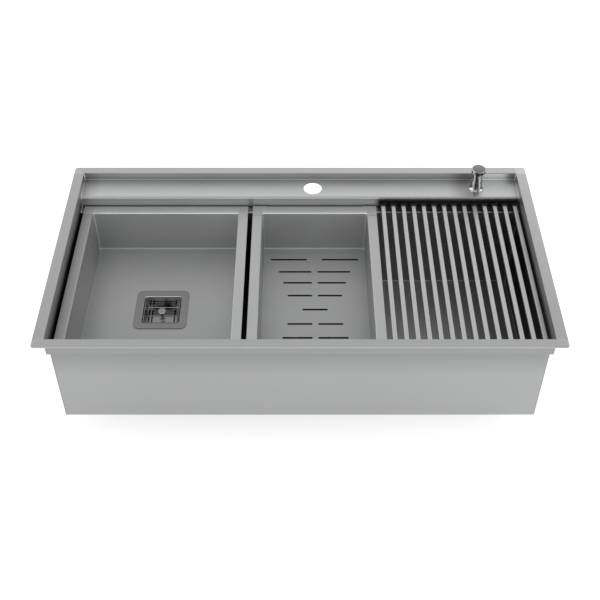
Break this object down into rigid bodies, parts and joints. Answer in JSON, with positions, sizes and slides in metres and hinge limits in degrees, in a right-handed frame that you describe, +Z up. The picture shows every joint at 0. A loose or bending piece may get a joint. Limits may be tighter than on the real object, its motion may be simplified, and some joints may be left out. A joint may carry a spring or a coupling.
{
  "type": "kitchen sink",
  "caption": "Inset steel workstation sink with recessed tap deck, lift-out basin and slotted tray, roll-up drying rack, strainer wastes and a press-down soap dispenser.",
  "frame": {"origin": "centre of the rim in plan, at the rim's underside, level with the worktop", "axes": "+X to the user's right, +Y away from the user towards the tap deck, +Z up"},
  "size_m": [1, 0.54, 0.3577],
  "materials": {
    "satin_steel": "satin, finely brushed left to right",
    "polished_steel": "polished",
    "bar_steel": "satin, brushed along the bar",
    "chrome": "bright chrome",
    "black_silicone": "matt moulded silicone",
    "grey_rubber": "matt",
    "white_plastic": "moulded",
    "bottle_plastic": "moulded, slightly translucent",
    "spring_steel": "drawn wire"
  },
  "bodies": {
    "sink": {"rim_frame": "satin_steel", "folded_shell": "satin_steel", "end_plate_left": "satin_steel", "end_plate_right": "satin_steel", "sound_pads": "grey_rubber", "main_waste_cup": "polished_steel", "main_waste_gasket": "grey_rubber", "main_waste_nut": "white_plastic", "dispenser_collar": "chrome", "dispenser_shank": "white_plastic", "dispenser_washer": "grey_rubber", "dispenser_nut": "white_plastic", "dispenser_bottle": "bottle_plastic", "pump_cylinder": "white_plastic", "dip_tube": "white_plastic", "pump_spring": "spring_steel"},
    "main_strainer": {"main_basket": "polished_steel", "main_basket_knob": "polished_steel", "main_basket_seal": "grey_rubber"},
    "basin": {"basin_shell": "satin_steel", "basin_waste_cup": "polished_steel", "basin_waste_gasket": "grey_rubber", "basin_waste_nut": "white_plastic"},
    "basin_strainer": {"basin_basket": "polished_steel", "basin_basket_knob": "polished_steel", "basin_basket_seal": "grey_rubber"},
    "tray": {"tray_shell": "satin_steel", "tray_corner_plates": "satin_steel"},
    "pump_plunger": {"pump_stem": "white_plastic"},
    "dispenser_head": {"dispenser_head": "chrome", "dispenser_spout": "chrome"},
    "rack_link_01": {"rack_bar_01": "bar_steel", "rack_sleeve_01": "black_silicone"},
    "rack_link_02": {"rack_bar_02": "bar_steel", "rack_sleeve_02": "black_silicone"},
    "rack_link_03": {"rack_bar_03": "bar_steel", "rack_sleeve_03": "black_silicone"},
    "rack_link_04": {"rack_bar_04": "bar_steel", "rack_sleeve_04": "black_silicone"},
    "rack_link_05": {"rack_bar_05": "bar_steel", "rack_sleeve_05": "black_silicone"},
    "rack_link_06": {"rack_bar_06": "bar_steel", "rack_sleeve_06": "black_silicone"},
    "rack_link_07": {"rack_bar_07": "bar_steel", "rack_sleeve_07": "black_silicone"},
    "rack_link_08": {"rack_bar_08": "bar_steel", "rack_sleeve_08": "black_silicone"},
    "rack_link_09": {"rack_bar_09": "bar_steel", "rack_sleeve_09": "black_silicone"},
    "rack_link_10": {"rack_bar_10": "bar_steel", "rack_sleeve_10": "black_silicone"},
    "rack_link_11": {"rack_bar_11": "bar_steel", "rack_sleeve_11": "black_silicone"},
    "rack_link_12": {"rack_bar_12": "bar_steel", "rack_sleeve_12": "black_silicone"},
    "rack_link_13": {"rack_bar_13": "bar_steel", "rack_sleeve_13": "black_silicone"},
    "rack_link_14": {"rack_bar_14": "bar_steel", "rack_sleeve_14": "black_silicone"}
  },
  "joints": [
    {"name": "basin_lift", "type": "slide", "parent": "sink", "child": "basin", "axis": [0, 0, 1], "range_m": [0, 0.21]},
    {"name": "basin_strainer_lift", "type": "slide", "parent": "basin", "child": "basin_strainer", "axis": [0, 0, 1], "range_m": [0, 0.19]},
    {"name": "tray_lift", "type": "slide", "parent": "sink", "child": "tray", "axis": [0, 0, 1], "range_m": [0, 0.15]},
    {"name": "main_strainer_lift", "type": "slide", "parent": "sink", "child": "main_strainer", "axis": [0, 0, 1], "range_m": [0, 0.1]},
    {"name": "rack_lift", "type": "slide", "parent": "sink", "child": "rack_link_12", "axis": [0, 0, 1], "range_m": [0, 0.08]},
    {"name": "pump_press", "type": "slide", "parent": "sink", "child": "pump_plunger", "axis": [0, 0, -1], "range_m": [0, 0.005], "stiffness_N_per_m": 700, "springref_m": -0.005, "deforming": ["pump_spring"]},
    {"name": "spout_swivel", "type": "hinge", "parent": "pump_plunger", "child": "dispenser_head", "pos_m": [0.388, 0.2195, 0.0195], "axis": [0, 0, 1], "range_deg": [-130, 130]},
    {"name": "rack_roll_13", "type": "hinge", "parent": "rack_link_13", "child": "rack_link_14", "pos_m": [0.4581, -0.0315, -0.0376], "axis": [0, -1, 0], "range_deg": [0, 27.92]},
    {"name": "rack_roll_12", "type": "hinge", "parent": "rack_link_12", "child": "rack_link_13", "pos_m": [0.436, -0.0315, -0.0376], "axis": [0, -1, 0], "range_deg": [0, 28.68]},
    {"name": "rack_roll_11", "type": "hinge", "parent": "rack_link_12", "child": "rack_link_11", "pos_m": [0.4139, -0.0315, -0.0376], "axis": [0, 1, 0], "range_deg": [0, 29.51]},
    {"name": "rack_roll_10", "type": "hinge", "parent": "rack_link_11", "child": "rack_link_10", "pos_m": [0.3918, -0.0315, -0.0376], "axis": [0, 1, 0], "range_deg": [0, 30.42]},
    {"name": "rack_roll_09", "type": "hinge", "parent": "rack_link_10", "child": "rack_link_09", "pos_m": [0.3697, -0.0315, -0.0376], "axis": [0, 1, 0], "range_deg": [0, 31.42]},
    {"name": "rack_roll_08", "type": "hinge", "parent": "rack_link_09", "child": "rack_link_08", "pos_m": [0.3476, -0.0315, -0.0376], "axis": [0, 1, 0], "range_deg": [0, 32.53]},
    {"name": "rack_roll_07", "type": "hinge", "parent": "rack_link_08", "child": "rack_link_07", "pos_m": [0.3255, -0.0315, -0.0376], "axis": [0, 1, 0], "range_deg": [0, 33.77]},
    {"name": "rack_roll_06", "type": "hinge", "parent": "rack_link_07", "child": "rack_link_06", "pos_m": [0.3034, -0.0315, -0.0376], "axis": [0, 1, 0], "range_deg": [0, 35.17]},
    {"name": "rack_roll_05", "type": "hinge", "parent": "rack_link_06", "child": "rack_link_05", "pos_m": [0.2813, -0.0315, -0.0376], "axis": [0, 1, 0], "range_deg": [0, 36.76]},
    {"name": "rack_roll_04", "type": "hinge", "parent": "rack_link_05", "child": "rack_link_04", "pos_m": [0.2592, -0.0315, -0.0376], "axis": [0, 1, 0], "range_deg": [0, 38.59]},
    {"name": "rack_roll_03", "type": "hinge", "parent": "rack_link_04", "child": "rack_link_03", "pos_m": [0.2371, -0.0315, -0.0376], "axis": [0, 1, 0], "range_deg": [0, 40.74]},
    {"name": "rack_roll_02", "type": "hinge", "parent": "rack_link_03", "child": "rack_link_02", "pos_m": [0.215, -0.0315, -0.0376], "axis": [0, 1, 0], "range_deg": [0, 43.32]},
    {"name": "rack_roll_01", "type": "hinge", "parent": "rack_link_02", "child": "rack_link_01", "pos_m": [0.1929, -0.0315, -0.0376], "axis": [0, 1, 0], "range_deg": [0, 46.49]}
  ],
  "couplings": [
    {"joint": "rack_roll_13", "follows": "rack_roll_11", "ratio": 0.94595},
    {"joint": "rack_roll_12", "follows": "rack_roll_11", "ratio": 0.97184},
    {"joint": "rack_roll_10", "follows": "rack_roll_11", "ratio": 1.0308},
    {"joint": "rack_roll_09", "follows": "rack_roll_11", "ratio": 1.0647},
    {"joint": "rack_roll_08", "follows": "rack_roll_11", "ratio": 1.1023},
    {"joint": "rack_roll_07", "follows": "rack_roll_11", "ratio": 1.1443},
    {"joint": "rack_roll_06", "follows": "rack_roll_11", "ratio": 1.1916},
    {"joint": "rack_roll_05", "follows": "rack_roll_11", "ratio": 1.2454},
    {"joint": "rack_roll_04", "follows": "rack_roll_11", "ratio": 1.3077},
    {"joint": "rack_roll_03", "follows": "rack_roll_11", "ratio": 1.3806},
    {"joint": "rack_roll_02", "follows": "rack_roll_11", "ratio": 1.4679},
    {"joint": "rack_roll_01", "follows": "rack_roll_11", "ratio": 1.5752}
  ]
}
